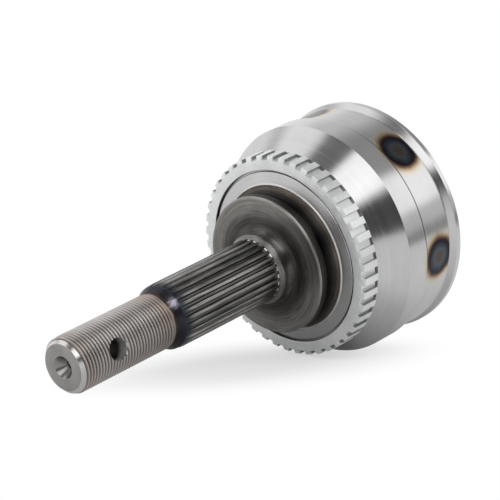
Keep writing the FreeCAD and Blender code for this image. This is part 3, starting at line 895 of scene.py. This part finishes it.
pitches = math.ceil((THREAD_END - THREAD_START) / PITCH) + 1
grid = bmesh.new()
rows = []
for row in range(-ROWS_PER_PITCH, pitches * ROWS_PER_PITCH + 1):
    places = [(step / THREAD_AROUND, row / ROWS_PER_PITCH, 0) for step in range(THREAD_AROUND + 1)]
    rows.append([grid.verts.new(where) for where in places])
for row, after in zip(rows, rows[1:]):
    for step in range(THREAD_AROUND):
        grid.faces.new((row[step], row[step + 1], after[step + 1], after[step]))
threaded_end = piece_of("threaded_end", grid)
thread_sizes = {
    "Start": THREAD_START * MM,
    "End": THREAD_END * MM,
    "Pitch": PITCH * MM,
    "Crest": THREAD_CREST * MM,
    "Root": THREAD_ROOT * MM,
    "Relief": RELIEF_RADIUS * MM,
    "Tip": TIP * MM,
    "Tip radius": TIP_RADIUS * MM,
    "Slope": CHAMFER_SLOPE,
    "Finish": thread_steel,
}
use_tree(threaded_end, thread_tree(), thread_sizes)

# The end face with its centre hole, as (along, out, rounding) in mm, and the relief to the spline
CENTRE_DEPTH = 8.6
CENTRE_PILOT_DEPTH = 7.4
CENTRE_PILOT_RADIUS = 2.0
CENTRE_CONE_DEPTH = 3.9
CENTRE_MOUTH_RADIUS = 4.4
TIP_OUTLINE = [
    (TIP + CENTRE_DEPTH, 0, 0),
    (TIP + CENTRE_PILOT_DEPTH, CENTRE_PILOT_RADIUS, 0),
    (TIP + CENTRE_CONE_DEPTH, CENTRE_PILOT_RADIUS, 0),
    (TIP, CENTRE_MOUTH_RADIUS, 0.15),
    (TIP, TIP_RADIUS, 0.25),
    (THREAD_START, THREAD_ROOT, 0),
]
ends = bmesh.new()
ends.from_mesh(threaded_end.data)
spin(ends, rounded(TIP_OUTLINE), THREAD_AROUND)
spin(ends, [(THREAD_END, RELIEF_RADIUS), (LEAD_START, RELIEF_RADIUS), (LEAD_START, 0)], THREAD_AROUND)
bmesh.ops.remove_doubles(ends, verts=ends.verts, dist=WELD_REACH)
bmesh.ops.recalc_face_normals(ends, faces=ends.faces)
ends.to_mesh(threaded_end.data)
ends.free()

# The cotter hole's wall as (radius, distance from the axle), in mm, with a chamfer at each mouth
DRILL_PROUD = 0.4
DRILL_AROUND = 64
drill_wall = [
    (COTTER_RADIUS + COTTER_CHAMFER + DRILL_PROUD, THREAD_CREST + DRILL_PROUD),
    (COTTER_RADIUS, THREAD_CREST - COTTER_CHAMFER),
]
drill_wall += [(radius, -away) for radius, away in reversed(drill_wall)]
drill_wall = [(0, drill_wall[0][1]), *drill_wall, (0, drill_wall[-1][1])]
drill = bmesh.new()
spin(drill, [(away, radius) for radius, away in drill_wall], DRILL_AROUND)
turn_up = Matrix.Rotation(COTTER_TURN, 4, "X") @ Matrix.Rotation(math.pi / 2, 4, "Z")
aim = Matrix.Translation(place(COTTER_PLACE, 0, 0)) @ turn_up
bmesh.ops.transform(drill, matrix=aim, verts=drill.verts)
cut(threaded_end, piece_of("cotter_drill", drill))
smooth(threaded_end, 30)
cotter_axis = Vector((0, math.cos(COTTER_TURN), math.sin(COTTER_TURN)))

# Drilled steel: torn by the drill and never finished, and dull, painted darker further into the hole as
# painted shade and lighter at its mouths
HOLE_SHADE_DEPTHS = (5.6, 8.2)

drilled_steel, tree = new_material("drilled_steel")
point = point_in_mm(tree)
cloud = node(tree, "ShaderNodeTexNoise", {"Vector": point, "Scale": 1 / 2, "Detail": 3.0})
deep = node(tree, "ShaderNodeVectorMath", (point, cotter_axis), operation="DOT_PRODUCT")
either = node(tree, "ShaderNodeMath", (deep.outputs["Value"],), operation="ABSOLUTE")
torn = node(tree, "ShaderNodeMath", (cloud, 1.6, either), operation="MULTIPLY_ADD")
# Painted shade: nearly black deep in the hole, light near its mouths
outward = node(
    tree, "ShaderNodeMapRange", {"Value": torn, "From Min": HOLE_SHADE_DEPTHS[0], "From Max": HOLE_SHADE_DEPTHS[1]}
)
finish_material(
    tree,
    {
        "Base Color": node(
            tree, "ShaderNodeValToRGB", (outward,), [(0.1, "#1f1d1c"), (0.5, "#7d7a77"), (1.0, "#b8b5b2")]
        ),
        "Metallic": 0.5,
        "Roughness": node(tree, "ShaderNodeMapRange", {"Value": cloud, "To Min": 0.32, "To Max": 0.46}),
    },
)


COTTER_HAIR = 0.03
CHAMFER_HAIR = 0.06
FACED_RADIUS = 9
THREAD_OVERRUN = 0.2


def in_cotter_hole(middle, out):
    """Whether a face lies on the cotter hole's wall or on a chamfer at its mouths."""
    away = middle - Vector((COTTER_PLACE, 0, 0))
    height = abs(away.dot(cotter_axis))
    reach = (away - cotter_axis * away.dot(cotter_axis)).length
    return reach < COTTER_RADIUS + max(0, height - THREAD_CREST + COTTER_CHAMFER) + COTTER_HAIR


def on_end_chamfer(middle, out):
    """Whether a face lies on the chamfer at the stem's end, which the thread starts on."""
    chamfer = TIP_RADIUS + (middle.x - TIP) * CHAMFER_SLOPE
    return middle.x < TIP + CHAMFER_LENGTH and out > chamfer - CHAMFER_HAIR


paint(
    threaded_end,
    (drilled_steel, in_cotter_hole),
    (ground_steel, lambda middle, out: out < FACED_RADIUS),
    (turned_steel, on_end_chamfer),
    (thread_steel, lambda middle, out: middle.x < THREAD_END + THREAD_OVERRUN),
    (case_steel, lambda middle, out: True),
)
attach(threaded_end, "outer_race")
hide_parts("outer_race")


# Tone ring
# The toothed ring that the wheel speed sensor reads, stamped and coined from steel strip, zinc
# plated, and pressed on the bell's seat. The fronts of its 44 teeth lean back from its face.
RING_COUNT = 44
RING_FRONT = -31.65
RING_TIP = 40.85
RING_FLOOR = 39.2
RING_SLOT = 2.9
RING_LEAN = 0.65
RING_BORE_EDGE = 0.2
RING_EDGE = 0.12
RING_TURN = math.radians(1.7)
BORE_SHADE_RADII = (0.05, 0.2)

# Zinc plate: a pale, cool grey with a fine matte grain, in part a crust rather than bare metal
zinc, tree = new_material("zinc_plate")
point, x, out, turn = axle_places(tree)
grain = node(tree, "ShaderNodeTexNoise", {"Vector": point, "Scale": 1 / 0.7, "Detail": 3.0})
cloud = node(tree, "ShaderNodeTexNoise", {"Vector": point, "Scale": 1 / 12, "Detail": 3.0})
mottle = node(tree, "ShaderNodeMath", (grain, 0.6, cloud), operation="MULTIPLY_ADD")
plate = node(tree, "ShaderNodeValToRGB", (mottle,), [(0.55, "#e1e3e3"), (1.05, "#f3f4f4")])
# Painted shade: the slots' walls are darker, and the bore, in the gap against the bell's hub, nearly black
height = node(tree, "ShaderNodeMapRange", {"Value": out, "From Min": RING_FLOOR, "From Max": RING_TIP})
wall = node(
    tree,
    "ShaderNodeValToRGB",
    (height,),
    [(0.04, "#000000"), (0.1, "#ffffff"), (0.84, "#ffffff"), (0.93, "#000000")],
)
within = node(
    tree,
    "ShaderNodeMapRange",
    {"Value": x, "From Min": RING_FRONT + RING_LEAN, "From Max": RING_FRONT + 2 * RING_LEAN},
)
painted_wall_shade = node(tree, "ShaderNodeMath", (wall, within), operation="MULTIPLY")
with_wall_shade = node(tree, "ShaderNodeMix", {0: painted_wall_shade, 6: plate, 7: linear("#969998")}, data_type="RGBA")
# Painted shade on the bore, which lies in the dark gap between ring and hub
kept = node(
    tree,
    "ShaderNodeMapRange",
    {"Value": out, "From Min": BORE_RADIUS + BORE_SHADE_RADII[0], "From Max": BORE_RADIUS + BORE_SHADE_RADII[1]},
)
finish_material(
    tree,
    {
        "Base Color": node(tree, "ShaderNodeMix", {0: kept, 6: linear("#3c3a38"), 7: with_wall_shade}, data_type="RGBA"),
        "Metallic": 0.55,
        "Roughness": 0.42,
        "Normal": node(tree, "ShaderNodeBump", {"Height": grain, "Strength": 0.25, "Distance": 0.00004}),
    },
)

body = [
    (SHOULDER, RING_FLOOR),
    (SHOULDER, BORE_RADIUS),
    (RING_FRONT + RING_BORE_EDGE, BORE_RADIUS),
    (RING_FRONT, BORE_RADIUS + RING_BORE_EDGE),
    (RING_FRONT, RING_FLOOR),
]
tooth_top = [(RING_FRONT + RING_LEAN, RING_TIP), (SHOULDER, RING_TIP)]
slot_floor = [(RING_FRONT + RING_LEAN, RING_FLOOR)]

sector = bmesh.new()
half_pitch = math.pi / RING_COUNT


def ring_row(points, beside, turn):
    """A row of points at a turn about the axle, or at a distance in mm beside that plane."""
    turns = [turn + math.asin(beside / out) for along, out in points]
    return [sector.verts.new(place(*point, turned)) for point, turned in zip(points, turns)]


def join(first, second, closed):
    """Faces between two rows of points."""
    count = len(first)
    for number in range(count if closed else count - 1):
        beside = (number + 1) % count
        corners = (first[number], first[beside], second[beside], second[number])
        sector.faces.new(dict.fromkeys(corners))


slot_middle = ring_row(body + slot_floor, 0, RING_TURN)
slot_edge = ring_row(body + slot_floor, RING_SLOT / 2, RING_TURN)
tooth_edge = ring_row(tooth_top, RING_SLOT / 2, RING_TURN)
tooth_middle = ring_row(body + tooth_top, 0, RING_TURN + half_pitch)
join(slot_middle, slot_edge, True)
join(slot_edge[: len(body)] + tooth_edge, tooth_middle, True)
slot_wall = slot_edge[len(body) - 1 :]
join([*slot_wall, slot_edge[0]], [slot_wall[0], *tooth_edge], False)
turn_back = Matrix.Rotation(RING_TURN, 3, "X")
mirror = turn_back @ Matrix.Diagonal((1, 1, -1)) @ turn_back.inverted()
for face in list(sector.faces):
    sector.faces.new([sector.verts.new(mirror @ corner.co) for corner in face.verts])
tone_ring = piece_of("plated_ring", sector)
use_tree(tone_ring, repeat_round, {"Count": RING_COUNT, "Finish": zinc})
weld(tone_ring)
edges = tone_ring.modifiers.new("Edges", "BEVEL")
edges.width = RING_EDGE * MM
edges.segments = 2
edges.limit_method = "ANGLE"
edges.angle_limit = math.radians(32)
make_plain(tone_ring)
smooth(tone_ring, 35)
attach(tone_ring, "outer_race")
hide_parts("tone_ring")


# Cage
# The ring that holds the six balls in one plane, machined from hardened steel and phosphated. Its
# two spheres slide in the bell's bore and on the inner race.
def body_with(name):
    """The body that a node belongs to."""
    bodies = frame["record"]["behaviour"]["bodies"]
    return next(body for body, nodes in bodies.items() if name in nodes)


def dress(node_name, name, material):
    """A merged copy of a node's mesh, shaded smooth, which rides for the node."""
    mesh = bmesh.new()
    mesh.from_mesh(frame["nodes"][node_name].data)
    piece = piece_of(name, mesh)
    piece.data.materials.clear()
    piece.data.materials.append(material)
    smooth(piece, 30)
    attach(piece, body_with(node_name))
    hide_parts(node_name)


# Phosphate: a dark, fine-grained coat that holds oil, nearly matte
phosphate, tree = new_material("phosphate_coat")
point = point_in_mm(tree)
grain = node(tree, "ShaderNodeTexNoise", {"Vector": point, "Scale": 1 / 1.5, "Detail": 4.0})
finish_material(
    tree,
    {
        "Base Color": node(tree, "ShaderNodeValToRGB", (grain,), [(0.3, "#4a4948"), (0.7, "#625f5d")]),
        "Metallic": 0.85,
        "Roughness": node(tree, "ShaderNodeMapRange", {"Value": grain, "To Min": 0.36, "To Max": 0.52}),
        "Normal": node(tree, "ShaderNodeBump", {"Height": grain, "Strength": 0.15, "Distance": 0.00003}),
    },
)
dress("cage", "ball_cage", phosphate)


# Inner race and snap ring
# The star that slides on the half shaft, ground on its sphere and in its six tracks, broached
# inside with a 26-tooth spline, and the blued spring ring that locks it on the shaft.

# Bearing steel: ground bright, with a fine even satin
race_steel = clouded_steel("bearing_steel", 7, ("#aeacaa", "#bdbbb9"), (0.22, 0.32))
dress("inner_race", "splined_race", race_steel)

# Spring steel: hardened in oil, which leaves it blue black
blued_steel = clouded_steel("blued_spring_steel", 4, ("#3d4048", "#4f535c"), (0.28, 0.4))
dress("circlip", "snap_ring", blued_steel)


# Balls
# Six balls of chrome bearing steel, 17.46 mm across, lapped and polished, one in each pair of
# tracks. They show the whole room, with only a faint haze of grease on them.
ball_steel = clouded_steel("polished_ball_steel", 3, ("#c6c6c7", "#d0d0d0"), (0.06, 0.14))
for number in range(1, TRACK_COUNT + 1):
    dress(f"ball_{number}", f"polished_ball_{number}", ball_steel)


# Floor
# A white sheet that the joint lies on, on the front corner of the bell's band and the end of the
# thread. It takes a soft shadow, fades into the white backdrop, and is clear from beneath.
FLOOR_RADIUS = 0.5
FLOOR_AROUND = 96
FLOOR_GAP = 0.03 * MM
FADE_MIDDLE = (-0.01, 0, 0)
FLOOR_FADE = (0.03, 0.07)
MIRROR_FADE = (0.035, 0.1)
low_band = Vector((BAND_START, BAND_RADIUS))
low_thread = Vector((TIP + CHAMFER_LENGTH, THREAD_CREST))
rise = math.atan2(low_band.y - low_thread.y, low_band.x - low_thread.x)
CAMERA_RIGHT = Vector((0.660305, -0.750997, 0.0))
level_out = math.sin(rise) * CAMERA_RIGHT.x / -CAMERA_RIGHT.y
FLOOR_NORMAL = Vector((math.sin(rise), level_out, math.sqrt(math.cos(rise) ** 2 - level_out**2)))
FLOOR_DROP = -(low_band.x * math.sin(rise) - low_band.y * math.cos(rise)) * MM + FLOOR_GAP

sheet = bmesh.new()
bmesh.ops.create_circle(sheet, cap_ends=True, segments=FLOOR_AROUND, radius=FLOOR_RADIUS)
facing = FLOOR_NORMAL.to_track_quat("Z", "Y").to_matrix().to_4x4()
lay = Matrix.Translation(FLOOR_NORMAL * -FLOOR_DROP) @ facing
bmesh.ops.transform(sheet, matrix=lay, verts=sheet.verts)
floor_data = bpy.data.meshes.new("floor")
sheet.to_mesh(floor_data)
sheet.free()
floor = bpy.data.objects.new("floor", floor_data)
bpy.context.scene.collection.objects.link(floor)

# White paper: what the camera and the steel see of it is nearly its own white
paper, tree = new_material("white_paper")
ray = node(tree, "ShaderNodeLightPath").outputs
lit = node(tree, "ShaderNodeBsdfDiffuse", {"Color": linear("#f4f4f4")})
glow = node(tree, "ShaderNodeEmission", {"Color": (1, 1, 1, 1), "Strength": 1.0})
coordinates = node(tree, "ShaderNodeTexCoord").outputs["Object"]
# Distance from the joint, counted half along the axle, in metres
squeezed = node(tree, "ShaderNodeVectorMath", (coordinates, (0.5, 1, 1)), operation="MULTIPLY")
apart = node(tree, "ShaderNodeVectorMath", (squeezed, FADE_MIDDLE), operation="DISTANCE")
faded = node(
    tree,
    "ShaderNodeMapRange",
    {"Value": apart, "From Min": FLOOR_FADE[0], "From Max": FLOOR_FADE[1], "To Min": 0.4, "To Max": 1.0},
    interpolation_type="SMOOTHSTEP",
)
seen = node(tree, "ShaderNodeMixShader", {0: faded, 1: lit, 2: glow})
# What the steel mirrors of the paper close by is painted darker, a painted shade for the joint's own shadow
shaded = node(tree, "ShaderNodeBsdfDiffuse", {"Color": linear("#bcbcbc")})
open_share = node(
    tree,
    "ShaderNodeMapRange",
    {"Value": apart, "From Min": MIRROR_FADE[0], "From Max": MIRROR_FADE[1]},
    interpolation_type="SMOOTHSTEP",
)
mirrored_glow = node(tree, "ShaderNodeEmission", {"Color": (1, 1, 1, 1), "Strength": 0.85})
mirrored = node(tree, "ShaderNodeMixShader", {0: open_share, 1: shaded, 2: mirrored_glow})
for_steel = node(tree, "ShaderNodeMixShader", {0: ray["Is Glossy Ray"], 1: lit, 2: mirrored})
for_camera = node(tree, "ShaderNodeMixShader", {0: ray["Is Camera Ray"], 1: for_steel, 2: seen})
beneath = node(tree, "ShaderNodeNewGeometry").outputs["Backfacing"]
clear = node(tree, "ShaderNodeBsdfTransparent")
sided = node(tree, "ShaderNodeMixShader", {0: beneath, 1: for_camera, 2: clear})
node(tree, "ShaderNodeOutputMaterial", {"Surface": sided})
floor_data.materials.append(paper)


# Studio
# A white tent with long soft boxes and black flags beside it that run along the axle, so that the
# turned steel shows clean bright and dark bands.
world = bpy.data.worlds.new("studio")
bpy.context.scene.world = world
world.use_nodes = True
tree = world.node_tree
tree.nodes.clear()
direction = node(tree, "ShaderNodeTexCoord").outputs["Generated"]
x, y, z = node(tree, "ShaderNodeSeparateXYZ", (direction,)).outputs
level = node(tree, "ShaderNodeVectorMath", (direction, (0, 1, 1)), operation="MULTIPLY")
about_axle = node(tree, "ShaderNodeVectorMath", (level,), operation="NORMALIZE")

# Turn about the axle of each strip's middle, half its width and its soft edge, in degrees, where
# it starts and ends along the axle as the sine of that direction, and its light level
TENT = 0.76
STRIPS = [
    (-8, 14, 14, -1.2, 0.35, 1.12),
    (42, 9, 12, -1.2, 0.35, 1.2),
    (76, 9, 7, -1.2, 0.25, 0.18),
    (110, 15, 7, -1.2, 0.3, 1.64),
    (153, 15, 8, -1.2, 0.3, 0.05),
    (0, 14, 14, 0.45, 1.2, 1.1),
    (88, 20, 17, 0.35, 1.2, 0.32),
    (139, 14, 11, 0.35, 1.2, 1.42),
    (195, 10, 10, 0.45, 1.2, 0.3),
]
STRIP_END = 0.15
light = TENT
for turn, half_width, edge, start, end, brightness in STRIPS:
    middle = (0, math.cos(math.radians(turn)), math.sin(math.radians(turn)))
    near = node(tree, "ShaderNodeVectorMath", (about_axle, middle), operation="DOT_PRODUCT")
    wide = node(
        tree,
        "ShaderNodeMapRange",
        {
            "Value": near.outputs["Value"],
            "From Min": math.cos(math.radians(half_width + edge)),
            "From Max": math.cos(math.radians(half_width)),
        },
        interpolation_type="SMOOTHSTEP",
    )
    after_start = node(
        tree,
        "ShaderNodeMapRange",
        {"Value": x, "From Min": start - STRIP_END, "From Max": start + STRIP_END},
        interpolation_type="SMOOTHSTEP",
    )
    before_end = node(
        tree,
        "ShaderNodeMapRange",
        {"Value": x, "From Min": end + STRIP_END, "From Max": end - STRIP_END},
        interpolation_type="SMOOTHSTEP",
    )
    long = node(tree, "ShaderNodeMath", (after_start, before_end), operation="MULTIPLY")
    mask = node(tree, "ShaderNodeMath", (wide, long), operation="MULTIPLY")
    light = node(tree, "ShaderNodeMix", {0: mask, 2: light, 3: brightness}, data_type="FLOAT")
tent = node(tree, "ShaderNodeBackground", {"Color": (1, 1, 1, 1), "Strength": light})
white = node(tree, "ShaderNodeBackground", {"Color": (1, 1, 1, 1), "Strength": 1.0})
ray = node(tree, "ShaderNodeLightPath").outputs["Is Camera Ray"]
seen = node(tree, "ShaderNodeMixShader", {0: ray, 1: tent, 2: white})
node(tree, "ShaderNodeOutputWorld", {"Surface": seen})


# Camera
# It stands a metre from the joint, on the stem's side and low over the floor, with a long lens.
CAMERA_PLACE = Vector((-713.051, -582.111, 437.458)) * MM
CAMERA_UP = Vector((0.327727, 0.288151, 0.899758))
CAMERA_BACK = Vector((-0.675715, -0.594115, 0.436390))
lens = bpy.data.cameras.new("camera")
lens.lens = 185.0
lens.sensor_width = 36.0
lens.clip_start = 0.05
lens.clip_end = 20.0
camera = bpy.data.objects.new("camera", lens)
turned = Matrix((CAMERA_RIGHT, CAMERA_UP, CAMERA_BACK)).transposed().to_4x4()
camera.matrix_world = Matrix.Translation(CAMERA_PLACE) @ turned
bpy.context.scene.collection.objects.link(camera)
bpy.context.scene.camera = camera
bpy.context.scene.view_settings.view_transform = "Standard"
